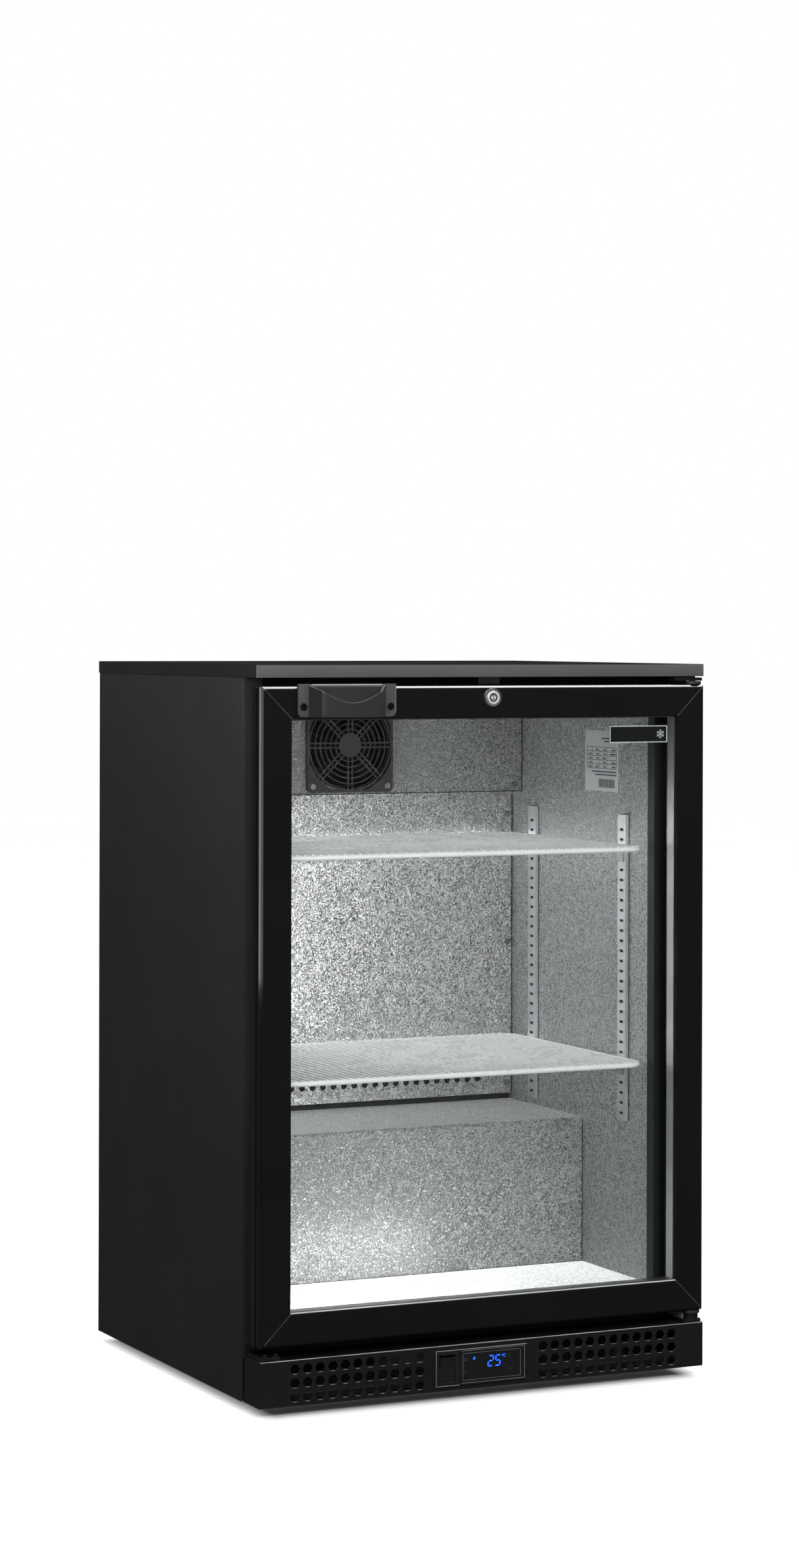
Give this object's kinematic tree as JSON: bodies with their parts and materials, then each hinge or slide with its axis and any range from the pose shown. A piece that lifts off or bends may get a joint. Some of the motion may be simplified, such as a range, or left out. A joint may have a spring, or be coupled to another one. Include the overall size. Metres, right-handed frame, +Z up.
{
  "type": "undercounter refrigerator",
  "caption": "Undercounter refrigerator with one hinged glass door, cup handle, key lock, wire shelves on slotted standards, fan-cooled embossed interior and a kick plate grille with controls.",
  "frame": {"origin": "centre of the outline on the floor, under the feet", "axes": "+X to the right seen from the front, +Y to the rear, +Z up; the door faces -Y"},
  "size_m": [0.6, 0.5438, 0.875],
  "materials": {
    "cabinet_paint": "satin black",
    "rear_steel": "galvanised",
    "worktop_paint": "satin dark grey",
    "throat_plastic": "matte black",
    "kick_paint": "satin black",
    "screw_steel": "bright",
    "black_screw": "blackened",
    "strike_metal": "dark zinc",
    "foam": "closed foam",
    "liner_metal": "embossed",
    "control_plastic": "fine texture",
    "display_plastic": "gloss black",
    "clear_cover": "clear",
    "coil_metal": "bare",
    "fan_plastic": "matte black",
    "guard_plastic": "matte dark grey",
    "standard_metal": "satin",
    "clip_steel": "plated",
    "shelf_coating": "white coating",
    "light_plastic": "diffusing white",
    "label_foil": "satin foil",
    "compressor_paint": "gloss black",
    "condenser_metal": "black coated",
    "fan_metal": "pressed sheet",
    "tray_plastic": "matte",
    "pipe_metal": "copper tube",
    "inlet_plastic": "matte black",
    "foot_plastic": "matte black",
    "hinge_metal": "black",
    "door_frame": "gloss black",
    "pane": "clear",
    "spacer_metal": "satin",
    "gasket_rubber": "matte black",
    "handle_plastic": "fine texture black",
    "badge_plastic": "gloss black",
    "bush_plastic": "white",
    "lock_metal": "dark plated",
    "lock_chrome": "bright plated"
  },
  "bodies": {
    "cabinet": {"side_panel_left": "cabinet_paint", "side_panel_right": "cabinet_paint", "rear_panel": "rear_steel", "rear_grille": "cabinet_paint", "base_plate": "rear_steel", "worktop": "worktop_paint", "front_frame": "cabinet_paint", "throat_frame": "throat_plastic", "kick_plate": "kick_paint", "panel_screws": "screw_steel", "insulation": "foam", "liner_left": "liner_metal", "liner_right": "liner_metal", "liner_back": "liner_metal", "liner_ceiling": "liner_metal", "liner_floor": "liner_metal", "liner_step": "liner_metal", "controller_bezel": "control_plastic", "display_panel": "display_plastic", "evaporator": "coil_metal", "evaporator_fan_frame": "fan_plastic", "fan_guard": "guard_plastic", "fan_panel": "liner_metal", "duct_panel": "liner_metal", "shelf_standards": "standard_metal", "shelf_clips": "clip_steel", "light_bar": "light_plastic", "rating_label": "label_foil", "compressor": "compressor_paint", "condenser": "condenser_metal", "condenser_shroud": "fan_plastic", "drip_tray": "tray_plastic", "refrigerant_pipes": "pipe_metal", "power_inlet": "inlet_plastic", "top_hinge": "hinge_metal", "bottom_hinge": "hinge_metal", "spare_bracket": "hinge_metal", "lock_strike": "strike_metal"},
    "door": {"door_stiles": "door_frame", "door_rails": "door_frame", "outer_glass": "pane", "inner_glass": "pane", "glass_spacer": "spacer_metal", "door_gasket": "gasket_rubber", "door_handle": "handle_plastic", "handle_screws": "black_screw", "door_badge": "badge_plastic", "door_bushes": "bush_plastic", "lock_housing": "lock_metal"},
    "lock": {"lock_plug": "lock_chrome"},
    "rocker": {"rocker_switch": "control_plastic"},
    "cover": {"control_cover": "clear_cover"},
    "inner_fan": {"evaporator_fan": "fan_plastic"},
    "machine_fan": {"condenser_fan": "fan_metal"},
    "shelf_top": {"upper_shelf": "shelf_coating"},
    "shelf_low": {"lower_shelf": "shelf_coating"},
    "foot_fl": {"foot_front_left": "foot_plastic"},
    "foot_fr": {"foot_front_right": "foot_plastic"},
    "foot_rl": {"foot_rear_left": "foot_plastic"},
    "foot_rr": {"foot_rear_right": "foot_plastic"}
  },
  "joints": [
    {"name": "door_swing", "type": "hinge", "parent": "cabinet", "child": "door", "pos_m": [0.2855, -0.2399, 0.4655], "axis": [0, 0, 1], "range_deg": [0, 120]},
    {"name": "lock_turn", "type": "hinge", "parent": "door", "child": "lock", "pos_m": [0.0036, -0.2519, 0.8355], "axis": [0, -1, 0], "range_deg": [0, 90]},
    {"name": "rocker_tip", "type": "hinge", "parent": "cabinet", "child": "rocker", "pos_m": [-0.0545, -0.2464, 0.039], "axis": [-1, 0, 0], "range_deg": [0, 14]},
    {"name": "cover_swing", "type": "hinge", "parent": "cabinet", "child": "cover", "pos_m": [-0.0374, -0.2514, 0.039], "axis": [0, 0, -1], "range_deg": [0, 100]},
    {"name": "inner_fan_spin", "type": "hinge", "parent": "cabinet", "child": "inner_fan", "pos_m": [0, 0.1511, 0.7667], "axis": [0, 1, 0], "continuous": true},
    {"name": "machine_fan_spin", "type": "hinge", "parent": "cabinet", "child": "machine_fan", "pos_m": [-0.115, 0.09, 0.1225], "axis": [0, 1, 0], "continuous": true},
    {"name": "shelf_top_lift", "type": "slide", "parent": "cabinet", "child": "shelf_top", "axis": [0, 0, 1], "range_m": [0, 0.038]},
    {"name": "shelf_low_lift", "type": "slide", "parent": "cabinet", "child": "shelf_low", "axis": [0, 0, 1], "range_m": [0, 0.038]},
    {"name": "foot_fl_turn", "type": "hinge", "parent": "cabinet", "child": "foot_fl", "pos_m": [-0.2368, -0.1429, 0], "axis": [0, 0, 1], "continuous": true},
    {"name": "foot_fr_turn", "type": "hinge", "parent": "cabinet", "child": "foot_fr", "pos_m": [0.2368, -0.1429, 0], "axis": [0, 0, 1], "continuous": true},
    {"name": "foot_rl_turn", "type": "hinge", "parent": "cabinet", "child": "foot_rl", "pos_m": [-0.2368, 0.2091, 0], "axis": [0, 0, 1], "continuous": true},
    {"name": "foot_rr_turn", "type": "hinge", "parent": "cabinet", "child": "foot_rr", "pos_m": [0.2368, 0.2091, 0], "axis": [0, 0, 1], "continuous": true}
  ]
}
